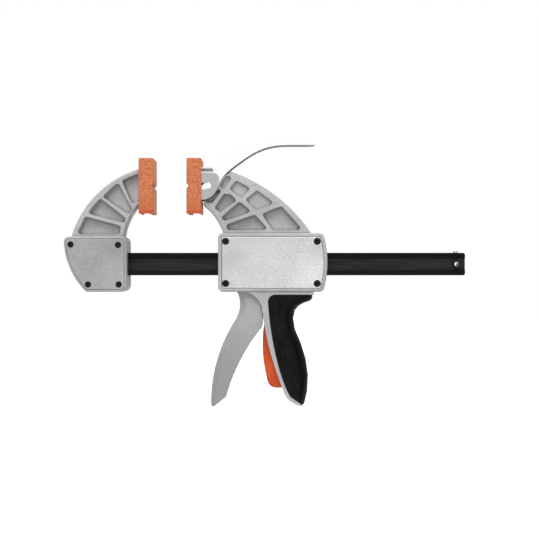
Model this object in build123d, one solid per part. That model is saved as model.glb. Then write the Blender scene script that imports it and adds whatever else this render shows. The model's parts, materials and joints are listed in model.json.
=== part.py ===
from build123d import *
import os
from math import atan, cos, degrees, pi, radians, sin, tau

# Quick release bar clamp, 150 mm class, in millimetres.
# Datum: middle of the fixed pad's clamping face. X runs along the bar to its free end, Z is up,
# Y goes through the thickness. The side with the cover plates faces -Y.

# ---------------------------------------------------------------- driving dimensions
# clamp
jaw_opening = 32.4  # between the two clamping faces
throat_depth = 65.9  # middle of the pads down to the bar's top edge
running_gap = 0.3  # between faces that move past each other
fit_gap = 0.05  # between a pin and its bore
seat_gap = 0.1  # round pieces that sit in a recess

# bar
bar_height = 22.4
bar_thickness = 10.0
bar_edge_height = 5.6  # thick edges above and below the rolled recess
bar_recess = 1.2
bar_length = 386.6
bar_inset = 10.8  # fixed housing's outer end to the bar's hidden end
bar_corner = 1.4
dowel_radius = 2.5
dowel_insets = (11.6, 37.6)  # from the bar's hidden end
stop_pin_radius = 3.4
stop_pin_wall = 0.9
stop_pin_length = 17.0
stop_pin_setback = 8.7  # from the bar's free end
stop_rivet_radius = 2.4
stop_rivet_height = 1.7
stop_rivet_depth = 4.0

# castings
housing_half = 16.0
arm_half = 9.5
arm_web = 4.0  # wall left between two deep pockets
arm_shallow_web = 11.0
pocket_draft = 8.0
pocket_corner = 2.3
small_pocket_corner = 1.4
edge_break = 1.2
housing_drop = 27.4  # bar's middle down to the housings' undersides
fixed_rise = 27.4  # bar's middle up to the fixed housing's top
fixed_length = 62.0
fixed_setback = 26.4  # pad face to the fixed housing's near wall
fixed_foot = 39.9  # length of the fixed housing's underside
fixed_bulge = 6.2  # rise of the outer wall's arc
moving_rise = 30.5
moving_length = 103.2
moving_setback = 31.3  # moving pad face to the housing's near wall
moving_bulge = 4.6  # rise of the far wall's arc
wall = 5.0
back_wall = 3.0
cover_thickness = 2.2
cover_proud = 0.2
moving_rim = 3.4
fixed_rim = 2.0
moving_screw_radius = 3.7
fixed_screw_radius = 3.3
screw_land = 0.3  # straight part of the screw's hole under the countersink
screw_socket_depth = 1.3
screw_shank_radius = 1.7
screw_length = 11.0
screw_socket = 3.0
screw_flats = 16  # the screws and their holes are many sided, as there are eight of each
boss_radius = 4.4
guide_wall = 2.0
guide_inset = 1.5  # back from the far wall's crown

# pads
pad_depth = 14.8
pad_height = 54.8
pad_width = 30.6
pad_front_wall = 4.6
pad_lip = 2.0
pad_round = 1.2
groove_depth = 2.2
groove_height = 5.6
head_plate = 4.5
head_height = 44.0

# pad bracket, sheet steel
bracket_sheet = 2.0
bracket_height = 44.0
tab_top = 18.2
tab_length = 12.4
pin_setback = 8.9  # back of the bracket's base to the pivot pin

# power lever, pressed steel
lever_sheet = 2.0
lever_sweep = 35.0  # degrees from open to closed
pivot_pin_radius = 2.9
cam_radius = 7.1
arm_boss_radius = 6.8

# handle and mechanism: their setbacks start at the handle's datum
handle_span = 134.5  # handle's datum to the far wall

# trigger
trigger_half = 10.0
trigger_wall = 2.8
trigger_pin_radius = 2.5
trigger_boss = 6.6
trigger_setback = 62.4  # to the trigger's pivot
trigger_rise = 18.1  # bar's middle up to the trigger's pivot
nose_drop = 25.0  # pivot down to the nose that pushes the drive plates
nose_reach = 7.4
trigger_bevel = (6.5, 3.6)  # bevel of the front edge, along the side and across the front
trigger_neck = -13.6
trigger_boss_radius = 4.5

# drive and brake
plate_half = 9.7
drive_plate_thickness = 2.4
drive_plate_count = 2
spring_wire = 1.1
coil_steps = 10  # straight lengths in a turn
spring_radius = 3.4
drive_spring_turns = 6
brake_spring_turns = 5
brake_seat_setback = 122.4
brake_thickness = 4.0
brake_tilt = 4.0
brake_half = 9.0
brake_setback = 108.6  # to the brake plate's upper end
brake_rise = 23.0  # bar's middle up to the axis that the brake plate tilts about
brake_length = 45.4
drive_rise = 24.1  # bar's middle up to the tops of the drive plates
drive_spring_rise = 18.6
spring_seat_setback = 89.4
rib = 2.6

# release lever
release_half = 5.5
release_setback = 95.4
release_drop = 14.8  # bar's middle down to the release lever's pivot
release_pin_radius = 1.6
release_boss = 3.5
release_break = 1.2

# handle
handle_half = 14.5
core_half = 12.4
grip_half = 15.2
grip_skin = 3.2
trigger_slot_half = 10.3
release_slot_half = 5.9

# ---------------------------------------------------------------- derived places
bar_z = -throat_depth - bar_height / 2
housing_floor = bar_z - housing_drop
fixed_top = bar_z + fixed_rise
moving_top = bar_z + moving_rise
moving_x = jaw_opening
moving_left = moving_x + moving_setback
moving_right = moving_left + moving_length
pad_back_x = moving_x + pad_depth
base_back_x = pad_back_x - pad_lip
pin_x = base_back_x + pin_setback
lever_plate_in = arm_half + running_gap
lever_plate_out = lever_plate_in + lever_sheet
cheek_in = lever_plate_out + running_gap
cheek_out = cheek_in + bracket_sheet
cover_front = housing_half + cover_proud
cover_seat = cover_front - cover_thickness
handle_x = moving_right - handle_span
trigger_x = handle_x + trigger_setback
trigger_z = bar_z + trigger_rise
release_x = handle_x + release_setback
release_z = bar_z - release_drop
drive_x = trigger_x + nose_reach + running_gap
drive_top = bar_z + drive_rise
drive_spring_z = bar_z + drive_spring_rise
spring_seat_x = handle_x + spring_seat_setback
brake_x = handle_x + brake_setback
brake_z = bar_z + brake_rise
brake_seat_x = handle_x + brake_seat_setback
pin_back = housing_half - 1.0


# ---------------------------------------------------------------- drawing helpers
def slab(face, front, back):
    """Extrude a face drawn in X and Z from y = front to y = back."""
    return Pos(0, back, 0) * extrude(Plane.XZ * face, amount=back - front)


def plate(face, half):
    return slab(face, -half, half)


def outline(*points, corner=0.0):
    """A face with straight sides through the points, its corners rounded."""
    face = make_face(Polyline(*points, close=True))
    return fillet(face.vertices(), corner) if corner else face


def blunted(points, corner):
    """The points of an outline with two short flats in place of each round corner."""
    rounded = []
    for i, point in enumerate(points):
        here, before, after = Vector(*point), Vector(*points[i - 1]), Vector(*points[(i + 1) % len(points)])
        back, on = (before - here).normalized(), (after - here).normalized()
        half = radians(back.get_angle(on)) / 2
        run = corner / sin(half) * cos(half)
        middle = (back + on).normalized() * (corner / sin(half) - corner)
        rounded += [here + back * run, here + middle, here + on * run]
    return [(p.X, p.Y) for p in rounded]


def block(x0, x1, y0, y1, z0, z1):
    return Pos((x0 + x1) / 2, (y0 + y1) / 2, (z0 + z1) / 2) * Box(x1 - x0, y1 - y0, z1 - z0)


def cross_pin(x, z, radius, front, back):
    """A round bar along Y."""
    return Pos(x, (front + back) / 2, z) * Rot(90, 0, 0) * Cylinder(radius, back - front)


def screw_hole(x, z, radius, front, back):
    """The straight part of a screw or of its hole."""
    return slab(Pos(x, z) * RegularPolygon(radius, screw_flats), front, back)


def tapered(face, rim, depth, slope):
    """A prism behind the plane rim whose flat sides lean inwards, by slope in degrees."""
    body = extrude(rim * face, amount=-depth)
    return draft([f for f in body.faces() if abs(f.normal_at().Y) < 0.5], rim, -slope)


def bow(start, end, rise):
    """An arc whose middle stands to the left of the line from start to end."""
    run, climb = end[0] - start[0], end[1] - start[1]
    length = (run**2 + climb**2) ** 0.5
    middle = (
        (start[0] + end[0]) / 2 - climb / length * rise,
        (start[1] + end[1]) / 2 + run / length * rise,
    )
    return ThreePointArc(start, middle, end)


def eased(body, size, *, y):
    """Break the outline edges of the faces that lie at y and -y."""
    edges = [e for e in body.edges() if abs(abs(e.center().Y) - y) < 0.01]
    return chamfer(edges, size)


def moved_by(points, dx, dz):
    return [(x + dx, z + dz) for x, z in points]


# ---------------------------------------------------------------- bar and its stop
def bar_section():
    half_height, half = bar_height / 2, bar_thickness / 2
    web = half - bar_recess
    shoulder = half_height - bar_edge_height
    return [
        (half, half_height),
        (half, shoulder + bar_recess / 2),
        (web, shoulder),
        (web, -shoulder),
        (half, -shoulder - bar_recess / 2),
        (half, -half_height),
        (-half, -half_height),
        (-half, -shoulder - bar_recess / 2),
        (-web, -shoulder),
        (-web, shoulder),
        (-half, shoulder + bar_recess / 2),
        (-half, half_height),
    ]


fixed_right = -fixed_setback
fixed_left = fixed_right - fixed_length
bar_hidden_end = fixed_left + bar_inset
bar_free_end = bar_hidden_end + bar_length
dowel_places = [bar_hidden_end + inset for inset in dowel_insets]
stop_pin_x = bar_free_end - stop_pin_setback


def bar():
    section = make_face(Polyline(*bar_section(), close=True))
    rail = extrude(Plane(origin=(bar_hidden_end, 0, bar_z), x_dir=(0, 1, 0), z_dir=(1, 0, 0))
                   * section, amount=bar_length)
    end = [e for e in rail.edges() if abs(e.center().X - bar_free_end) < 0.01
           and abs(abs(e.center().Z - bar_z) - bar_height / 2) < 0.01]
    rail = chamfer(end, bar_corner)
    for x in dowel_places:
        rail -= cross_pin(x, bar_z, dowel_radius + fit_gap, -bar_thickness, bar_thickness)
    rail -= cross_pin(stop_pin_x, bar_z, stop_pin_radius, -bar_thickness, bar_thickness)
    rail -= Pos(stop_pin_x, 0, bar_z + bar_height / 2 - stop_rivet_depth / 2) * Cylinder(
        stop_rivet_radius / 2, stop_rivet_depth)
    return rail


def stop_pin():
    """A rolled spring pin: a tube with a slit, pushed through the bar's end."""
    pin = cross_pin(0, 0, stop_pin_radius, -stop_pin_length / 2, stop_pin_length / 2)
    pin -= cross_pin(0, 0, stop_pin_radius - stop_pin_wall, -stop_pin_length, stop_pin_length)
    pin -= block(0, 2 * stop_pin_radius, -stop_pin_length, stop_pin_length, -0.5, 0.5)
    return Pos(stop_pin_x, 0, bar_z) * Rot(0, -30, 0) * pin


def stop_rivet():
    top = bar_z + bar_height / 2
    shank = Pos(stop_pin_x, 0, top - stop_rivet_depth / 2) * Cylinder(stop_rivet_radius / 2, stop_rivet_depth)
    head = Pos(stop_pin_x, 0, top + stop_rivet_height / 2) * Cylinder(stop_rivet_radius, stop_rivet_height)
    return shank + head


def dowels():
    return [cross_pin(x, bar_z, dowel_radius, -housing_half + 3, housing_half - 3) for x in dowel_places]


# ---------------------------------------------------------------- fixed jaw
def fixed_housing_face(inset=0.0):
    top_right, bottom_right = (fixed_right, fixed_top), (fixed_right, housing_floor)
    bottom_left, top_left = (fixed_right - fixed_foot, housing_floor), (fixed_left, fixed_top)
    face = make_face([
        Line(top_right, bottom_right),
        Line(bottom_right, bottom_left),
        bow(bottom_left, top_left, fixed_bulge),
        Line(top_left, top_right),
    ])
    face = fillet(face.vertices().sort_by(Axis.X)[2:], 6.0)
    face = fillet(face.vertices().sort_by(Axis.X)[:1], 5.5)
    face = fillet(face.vertices().group_by(Axis.Y)[0].sort_by(Axis.X)[:1], 2.0)
    return offset(face, amount=-inset) if inset else face


fixed_screws = [
    (fixed_left + 7.0, fixed_top - 8.2),
    (fixed_right - 8.3, fixed_top - 8.7),
    (fixed_right - fixed_foot + 2.1, housing_floor + 7.2),
    (fixed_right - 7.6, housing_floor + 7.2),
]


def fixed_arm_face():
    head = -pad_depth + 0.1
    near, far = fixed_right - 4.3, fixed_left + 6.0
    low, sink = fixed_top - 4, 3.0
    return make_face([
        Line((near, low), (far, low)),
        Line((far, low), (far, low + sink)),
        bow((far, low + sink), (head, 17.4), 12.2),
        Line((head, 17.4), (head, -17.6)),
        bow((head, -17.6), (near, low), -3.3),
    ])


fixed_pockets = [
    [(-76.8, -47.9), (-68.4, -29.8), (-32.8, -39.4), (-34.4, -47.9)],
    [(-66.4, -27.2), (-53.4, -11.7), (-28.4, -31.2), (-28.8, -37.0)],
    [(-51.6, -10.5), (-35.6, 3.9), (-21.5, -23.0), (-25.5, -28.0)],
    [(-32.3, 5.5), (-pad_depth, 13.4), (-pad_depth, -15.4), (-21.9, -17.9)],
]


def pocketed(arm, pockets, web, corner=pocket_corner):
    """Cut the same pockets, with moulding draft, into both faces of an arm."""
    depth = arm_half - web / 2
    rim = Plane.XZ.offset(arm_half)
    for corners in pockets:
        cut = tapered(outline(*blunted(corners, corner)), rim, depth, pocket_draft)
        arm = arm - cut - mirror(cut, Plane.XZ)
    return arm


def fixed_jaw():
    arm = eased(plate(fixed_arm_face(), arm_half), edge_break, y=arm_half)
    arm = pocketed(arm, fixed_pockets, arm_web)
    housing = eased(plate(fixed_housing_face(), housing_half), edge_break, y=housing_half)
    head_x = -pad_depth + pad_lip + seat_gap
    head = block(head_x, head_x + head_plate, -cheek_out, cheek_out, -head_height / 2, head_height / 2)
    neck = block(-pad_depth, head_x + 1, -arm_half, arm_half, -15.0, 14.0)
    jaw = arm + housing + head + neck
    jaw -= slab(fixed_housing_face(fixed_rim), -housing_half - 1, -cover_seat)
    half = bar_thickness / 2
    jaw -= block(bar_hidden_end, 0, -half, half, bar_z - bar_height / 2, bar_z + bar_height / 2)
    for x in dowel_places:
        jaw -= cross_pin(x, bar_z, dowel_radius, -housing_half, housing_half - 3)
    for x, z in fixed_screws:
        jaw -= screw_hole(x, z, screw_shank_radius, -housing_half, -housing_half + screw_length + 1)
    return jaw


def cover(face, screws, head_radius):
    """A flat cover plate with a bevelled edge and countersunk screw seats."""
    lid = slab(face, -cover_front, -cover_seat)
    lid = chamfer([e for e in lid.edges() if abs(e.center().Y + cover_front) < 0.01], 0.6)
    for x, z in screws:
        lid -= countersink(x, z, head_radius, screw_shank_radius, seat_gap)
    return lid


def countersink(x, z, head_radius, shank_radius, margin=0.0):
    """The form of a countersunk screw's head in the cover, or with a margin its seat."""
    deep = cover_thickness - screw_land
    slope = degrees(atan((head_radius - shank_radius - margin) * cos(pi / screw_flats) / deep))
    head = tapered(Pos(x, z) * RegularPolygon(head_radius, screw_flats), Plane.XZ.offset(cover_front), deep, slope)
    return head + screw_hole(x, z, shank_radius + margin, -cover_front + deep - 0.1, -cover_seat + 0.1)


def cover_screws(screws, head_radius):
    """Countersunk socket screws, flush with the cover."""
    made = []
    for x, z in screws:
        shank = screw_hole(x, z, screw_shank_radius, -cover_seat - 0.1, -cover_front + screw_length)
        socket = Plane.XZ * (Pos(x, z) * RegularPolygon(screw_socket / 2, 6))
        cut = Pos(0, -cover_front + screw_socket_depth, 0) * extrude(socket, amount=3)
        made.append(countersink(x, z, head_radius - seat_gap, screw_shank_radius) + shank - cut)
    return made


def fixed_cover():
    return cover(fixed_housing_face(fixed_rim + seat_gap), fixed_screws, fixed_screw_radius)


# ---------------------------------------------------------------- pads
def pad():
    """A moulded pad with its clamping face at x = 0, to the left. It slides on its carrier from +Y."""
    half_h, half_w = pad_height / 2, pad_width / 2
    body = block(0, pad_depth, -half_w, half_w, -half_h, half_h)
    body = fillet(body.edges().filter_by(Axis.Z) + body.edges().filter_by(Axis.Y), pad_round)
    groove = outline((-1, groove_height / 2 * (1 + 1 / groove_depth)), (groove_depth, 0),
                     (-1, -groove_height / 2 * (1 + 1 / groove_depth)))
    body -= plate(groove, half_w + 1)
    side = cheek_out + seat_gap
    inside = pad_depth - pad_lip
    body -= block(pad_front_wall, inside, -side, half_w + 1, -half_h - 1, head_height / 2 + 1)
    return body


def fixed_pad():
    opening = block(-pad_depth - 1, -pad_depth + pad_lip + 0.5, -arm_half - seat_gap, pad_width, -17.9, 17.2)
    return mirror(pad(), Plane.YZ) - opening


def moving_pad():
    opening = block(base_back_x - 0.5, pad_back_x + 1, -cheek_out - seat_gap, pad_width, -14.6, tab_top + 0.2)
    return Pos(moving_x, 0, 0) * pad() - opening


# ---------------------------------------------------------------- pad bracket and power lever
def cheek_face():
    """Side plate of the bracket: a rounded ear behind the pad, with the slot for the pivot pin."""
    ear = make_face([
        Line((base_back_x - bracket_sheet, 14.2), (pin_x + 2.4, 13.0)),
        bow((pin_x + 2.4, 13.0), (pin_x + 10.4, 5.4), 3.0),
        Line((pin_x + 10.4, 5.4), (pin_x + 9.0, -0.8)),
        bow((pin_x + 9.0, -0.8), (pin_x - 3.6, -13.4), 2.7),
        Line((pin_x - 3.6, -13.4), (base_back_x - bracket_sheet, -13.9)),
        Line((base_back_x - bracket_sheet, -13.9), (base_back_x - bracket_sheet, 14.2)),
    ])
    slot_half = pivot_pin_radius + 0.1
    slot = make_face(Rectangle(2 * pin_setback, 2 * slot_half).edges())
    return ear - Pos(pin_x - pin_setback, 0) * slot - Pos(pin_x, 0) * Circle(slot_half)


def pad_bracket():
    face = cheek_face()
    base = block(base_back_x - bracket_sheet, base_back_x - seat_gap, -cheek_out, cheek_out,
                 -bracket_height / 2, bracket_height / 2)
    cheeks = slab(face, -cheek_out, -cheek_in) + slab(face, cheek_in, cheek_out)
    slot_side = block(base_back_x - bracket_sheet - 1, base_back_x, cheek_in, cheek_out, -3, 3)
    tab = block(base_back_x - bracket_sheet, base_back_x + tab_length, -cheek_out, cheek_out,
                tab_top - bracket_sheet, tab_top)
    return base + cheeks + tab - slot_side - mirror(slot_side, Plane.XZ)


lever_top = [(10.3, 27.1), (17.6, 32.9), (31.1, 38.5), (45.0, 42.4), (65.6, 44.8), (85.0, 45.5), (106.0, 44.4)]
lever_low = [(105.6, 41.4), (80.5, 41.0), (60.0, 39.0), (45.9, 33.5), (28.1, 21.7), (13.3, 7.9), (8.8, -2.0)]
cam_offset = (pin_setback - 0.2 - cam_radius) / sin(radians(lever_sweep))


def lever_side_face():
    """Side plate of the power lever, drawn about its pivot."""
    blade = make_face([
        Spline(*lever_top),
        Line(lever_top[-1], lever_low[0]),
        Spline(*lever_low),
        Line(lever_low[-1], (-3.0, 0.0)),
        Line((-3.0, 0.0), (-4.4, 5.5)),
        Line((-4.4, 5.5), (7.0, 17.5)),
        Line((7.0, 17.5), lever_top[0]),
    ])
    return blade + Pos(0, -cam_offset) * Circle(cam_radius)


def lever_hollow_face():
    """What lies under the lever's top web."""
    inner = []
    for i, (x, z) in enumerate(lever_top):
        before, after = lever_top[max(i - 1, 0)], lever_top[min(i + 1, len(lever_top) - 1)]
        run, climb = after[0] - before[0], after[1] - before[1]
        length = (run**2 + climb**2) ** 0.5
        inner.append((x + climb / length * lever_sheet, z - run / length * lever_sheet))
    tip_x = lever_top[-1][0] + 5
    return make_face([
        Spline(*inner),
        Line(inner[-1], (tip_x, inner[-1][1])),
        Line((tip_x, inner[-1][1]), (tip_x, -30)),
        Line((tip_x, -30), (-20, -30)),
        Line((-20, -30), (-20, 20)),
        Line((-20, 20), inner[0]),
    ])


def power_lever():
    place = Pos(pin_x, 0, 0)
    lever = plate(lever_side_face(), lever_plate_out) - plate(lever_hollow_face(), lever_plate_in)
    lever -= cross_pin(0, 0, pivot_pin_radius + fit_gap, -housing_half, housing_half)
    return place * lever


def lever_pin():
    return cross_pin(pin_x, 0, pivot_pin_radius, -cheek_out - 0.4, cheek_out + 0.4)


# ---------------------------------------------------------------- moving jaw casting
def moving_housing_face(inset=0.0):
    face = make_face([
        Line((moving_left, moving_top), (moving_left, housing_floor)),
        Line((moving_left, housing_floor), (moving_right, housing_floor)),
        bow((moving_right, housing_floor), (moving_right, moving_top), -moving_bulge),
        Line((moving_right, moving_top), (moving_left, moving_top)),
    ])
    face = fillet(face.vertices(), 5.0)
    return offset(face, amount=-inset) if inset else face


moving_screws = [
    (moving_left + 7.4, moving_top - 8.2),
    (moving_right - 5.6, moving_top - 8.2),
    (moving_left + 7.4, housing_floor + 8.2),
    (moving_right - 5.6, housing_floor + 8.2),
]


def moving_arm_face():
    low = moving_top - 3
    far = moving_right - 9.3
    arm = make_face([
        bow((far, low), (pin_x + 22.8, 14.2), -8.7),
        Line((pin_x + 22.8, 14.2), (pin_x - 2, 6.4)),
        Line((pin_x - 2, 6.4), (pin_x - 4.8, -4.0)),
        Line((pin_x - 4.8, -4.0), (pin_x - 4.8, -19.6)),
        bow((pin_x - 4.8, -19.6), (moving_left + 5.6, low), 3.0),
        Line((moving_left + 5.6, low), (far, low)),
    ])
    return arm + Pos(pin_x, 0) * Circle(arm_boss_radius)


moving_shallow = [
    [(10.1, -0.4), (17.5, 11.0), (23.5, 8.6), (15.3, -3.0)],
    [(20.2, -2.9), (27.2, 6.0), (41.9, -2.4), (31.9, -11.8)],
    [(35.9, -13.6), (47.7, -3.8), (65.7, -17.0), (47.2, -23.8)],
]
moving_small = [[(-3.3, -12.2), (10.1, -2.2), (12.3, -5.2), (3.7, -16.4), (-2.5, -16.4)]]
moving_deep = [
    [(52.1, -27.4), (71.9, -19.6), (93.9, -43.6), (63.5, -43.7)],
    [(5.3, -21.4), (15.2, -7.2), (22.3, -8.2), (27.9, -14.2), (10.8, -26.4)],
    [(12.1, -30.8), (30.6, -15.0), (43.1, -25.4), (14.9, -34.8)],
    [(17.3, -38.0), (45.8, -28.1), (60.1, -43.6), (18.1, -43.8)],
]

grip_angles = (0, 30, 55, 78)  # corners of the grip's round back, from its flat side
grip_rear = [
    # below the bar's middle, rear of the grip behind the handle's datum, depth of its round back
    (-28.0, 124.6, 3.0),
    (-34.0, 124.8, 7.0),
    (-36.4, 122.6, 11.0),
    (-38.6, 116.2, 11.5),
    (-41.5, 111.0, 11.0),
    (-46.0, 107.3, 11.0),
    (-54.0, 105.8, 11.3),
    (-65.0, 107.6, 11.5),
    (-79.0, 113.6, 12.3),
    (-94.0, 118.2, 11.8),
    (-110.0, 120.5, 10.6),
    (-126.0, 119.8, 10.4),
    (-138.0, 117.0, 9.5),
    (-146.0, 113.3, 9.0),
]


def grip_form(half, inset):
    """The handle's round backed form, from the housing down, as a stack of D shaped sections."""
    front = handle_x + 70.0
    rings = []
    for drop, rear, depth in grip_rear:
        back = handle_x + rear - inset
        start = back - depth
        side = [(start + depth * sin(radians(a)), half * cos(radians(a))) for a in grip_angles]
        ring = Polyline((front, -half), (front, half), *side, *[(x, -y) for x, y in reversed(side)], close=True)
        rings.append(Pos(0, 0, bar_z + drop) * make_face(ring))
    return loft(rings, ruled=True)


def rubber_face():
    """Outline of the rubber seen from the side; its rear is left to the grip's form."""
    left, top = handle_x, housing_floor - 3.0
    return make_face([
        Line((left + 130, top), (left + 87, top)),
        bow((left + 87, top), (left + 80.6, top - 7), -1.9),
        Spline((left + 80.6, top - 7), (left + 82.4, bar_z - 57.1), (left + 89.3, bar_z - 94.5),
               (left + 98.2, bar_z - 122.1), (left + 102.1, bar_z - 130.2)),
        Line((left + 102.1, bar_z - 130.2), (left + 115.0, bar_z - 139.9)),
        Line((left + 115.0, bar_z - 139.9), (left + 130, bar_z - 139.9)),
        Line((left + 130, bar_z - 139.9), (left + 130, top)),
    ])


def handle_face():
    """Outline of the casting below the housing: the cut-out round the trigger, the spine and the heel."""
    left, top = handle_x, housing_floor + 2
    cut = housing_floor
    return make_face([
        Line((left + 125.5, top), (left + 53.6, top)),
        Line((left + 53.6, top), (left + 53.6, cut)),
        bow((left + 53.6, cut), (left + 75.1, cut - 20.3), 6.0),
        Spline((left + 75.1, cut - 20.3), (left + 78.5, bar_z - 69.9), (left + 87.3, bar_z - 102.4),
               (left + 97.2, bar_z - 130.0)),
        bow((left + 97.2, bar_z - 130.0), (left + 112.4, bar_z - 140.1), -1.6),
        bow((left + 112.4, bar_z - 140.1), (left + 114.9, bar_z - 137.9), -1.2),
        Line((left + 114.9, bar_z - 137.9), (left + 125.5, bar_z - 137.9)),
        Line((left + 125.5, bar_z - 137.9), (left + 125.5, top)),
    ])


def trigger_slot():
    left, z = handle_x, bar_z
    wide = outline((left + 47.3, housing_floor + wall + 1), (left + 110.6, housing_floor + wall + 1),
                   (left + 110.6, z - 23.8), (left + 98.0, z - 27.5), (left + 97.5, z - 57.0),
                   (left + 90.5, z - 78.0), (left + 84.5, z - 88.0), (left + 20.0, z - 88.0),
                   (left + 20.0, housing_floor - 0.01), (left + 47.3, housing_floor - 0.01))
    narrow = outline((left + 60, z - 25.0), (left + 103.0, z - 25.0), (left + 97.0, z - 48.0),
                     (left + 95.4, z - 64.0), (left + 99.4, z - 85.0), (left + 106.0, z - 103.6),
                     (left + 112.0, z - 123.5), (left + 108.8, z - 128.0), (left + 60, z - 128.0))
    return plate(wide, trigger_slot_half) + plate(narrow, release_slot_half)


def pin_boss(x, z, radius, reach):
    """Boss on the casting's back wall that carries a pivot pin."""
    return cross_pin(x, z, radius, reach + running_gap, housing_half - back_wall + 0.5)


def inner_ribs():
    """Seats of the two springs, and the notch that holds the brake plate's upper end."""
    top = moving_top - wall + 0.5
    front, back = -cover_seat, housing_half - back_wall + 0.5
    bar_top = bar_z + bar_height / 2
    seat = block(spring_seat_x, spring_seat_x + rib, front, back, bar_top + running_gap, top)
    notch = brake_thickness / 2 + 2 * running_gap
    low = brake_z - 4.0
    stop = block(brake_x - notch - rib, brake_x - notch, front, back, low, top)
    keep = block(brake_x + notch, brake_x + notch + rib, front, back, low, top)
    brake_seat = block(brake_seat_x, brake_seat_x + rib, front, back, housing_floor + wall - 0.5,
                       bar_z - bar_height / 2 - running_gap)
    return seat + stop + keep + brake_seat


def moving_jaw():
    arm = eased(plate(moving_arm_face(), arm_half), edge_break, y=arm_half)
    arm = pocketed(arm, [moved_by(p, pin_x, 0) for p in moving_deep], arm_web)
    arm = pocketed(arm, [moved_by(p, pin_x, 0) for p in moving_shallow], arm_shallow_web)
    arm = pocketed(arm, [moved_by(p, pin_x, 0) for p in moving_small], arm_web, small_pocket_corner)
    arm -= cross_pin(pin_x, 0, pivot_pin_radius + fit_gap, -housing_half, housing_half)
    housing = eased(plate(moving_housing_face(), housing_half), edge_break, y=housing_half)
    rubber = rubber_face()
    handle = plate(handle_face() - rubber, handle_half)
    core = plate(handle_face(), core_half) & plate(rubber, core_half)
    handle = handle + (core & grip_form(core_half, grip_skin))
    housing -= slab(moving_housing_face(moving_rim), -housing_half - 1, -cover_seat)
    housing -= slab(moving_housing_face(wall), -housing_half - 1, housing_half - back_wall)
    for x, z in moving_screws:
        boss = screw_hole(x, z, boss_radius, -cover_seat, housing_half - 1)
        housing = housing + boss
        housing -= screw_hole(x, z, screw_shank_radius, -housing_half, -housing_half + screw_length + 1)
    jaw = arm + housing + handle + inner_ribs()
    jaw = jaw + pin_boss(trigger_x, trigger_z, trigger_boss_radius, trigger_half)
    jaw = jaw + pin_boss(release_x, release_z, release_boss, release_half)
    jaw -= trigger_slot()
    bar_half, bar_rise = bar_thickness / 2 + running_gap, bar_height / 2 + running_gap
    jaw -= block(moving_left - 1, moving_right + moving_bulge + 1, -bar_half, bar_half,
                 bar_z - bar_rise, bar_z + bar_rise)
    for x in guide_places:
        jaw -= guide_block(x, running_gap + guide_wall)
    for x, z, radius in ((trigger_x, trigger_z, trigger_pin_radius), (release_x, release_z, release_pin_radius)):
        jaw -= cross_pin(x, z, radius, 0, pin_back)
    return jaw


guide_places = (moving_left, moving_right + moving_bulge - guide_inset - wall)


def guide_block(x, margin):
    """A block round the bar, as long as the housing's wall is thick."""
    half, rise = bar_thickness / 2 + margin, bar_height / 2 + margin
    return block(x, x + wall, -half, half, bar_z - rise, bar_z + rise)


def bar_guides():
    """Low friction liners, pressed into the housing's two end walls."""
    return [guide_block(x, running_gap + guide_wall) - guide_block(x, running_gap) for x in guide_places]


def moving_cover():
    lid = cover(moving_housing_face(moving_rim + seat_gap), moving_screws, moving_screw_radius)
    for x, z, boss, reach, radius in (
        (trigger_x, trigger_z, trigger_boss_radius, trigger_half, trigger_pin_radius),
        (release_x, release_z, release_boss, release_half, release_pin_radius),
    ):
        lid = lid + cross_pin(x, z, boss, -cover_seat, -reach - running_gap)
        lid -= cross_pin(x, z, radius, -cover_seat - 0.8, 0)
    return lid


def rubber_grip():
    skin = grip_form(grip_half, 0.0) & plate(rubber_face(), grip_half + 1)
    core = grip_form(core_half, grip_skin) & plate(handle_face(), core_half)
    return skin - core


# ---------------------------------------------------------------- trigger
trigger_crook, trigger_toe = (-14.0, -72.7), (-38.6, -157.5)  # where the finger's curve starts and ends


def trigger_front(inset=0.0):
    """The front edge: a hollow for the first finger, then one long curve down to the toe."""
    crook = (trigger_crook[0] + inset, trigger_crook[1])
    curve = bow(crook, (trigger_toe[0] + inset, trigger_toe[1]), -6.6)
    neck = TangentArc(crook, (trigger_neck + inset, -44.0), tangent=-(curve % 0))
    return neck, curve


def trigger_face():
    """The trigger seen from the side, drawn about its pivot."""
    fork, nose = -33.0, -nose_drop
    neck, curve = trigger_front()
    blade = make_face([
        neck,
        curve,
        Line(trigger_toe, (-36.9, -160.4)),
        Line((-36.9, -160.4), (-23.5, -149.7)),
        bow((-23.5, -149.7), (12.6, -79.9), 4.1),
        Line((12.6, -79.9), (13.1, -71.5)),
        Line((13.1, -71.5), (9.7, -49.0)),
        Line((9.7, -49.0), (5.0, -39.0)),
        Line((5.0, -39.0), (5.0, nose - 3.5)),
        ThreePointArc((5.0, nose - 3.5), (nose_reach, nose), (5.0, nose + 3.5)),
        Line((5.0, nose + 3.5), (trigger_boss, 0)),
        Line((trigger_boss, 0), (-trigger_boss, 0)),
        Line((-trigger_boss, 0), (-trigger_boss, fork)),
        Line((-trigger_boss, fork), (trigger_neck, -44.0)),
    ])
    return blade + Circle(trigger_boss)


def trigger_hollow_face():
    """The channel inside the trigger, open to the rear."""
    neck, curve = trigger_front(trigger_wall)
    foot = -144.7
    return make_face([
        Line((-2.0, -34.0), neck @ 1),
        neck,
        curve,
        Line(curve @ 1, (30.0, trigger_toe[1])),
        Line((30.0, trigger_toe[1]), (30.0, -34.0)),
        Line((30.0, -34.0), (-2.0, -34.0)),
    ]) - Pos(0, foot - 20) * Rectangle(100, 40)


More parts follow.
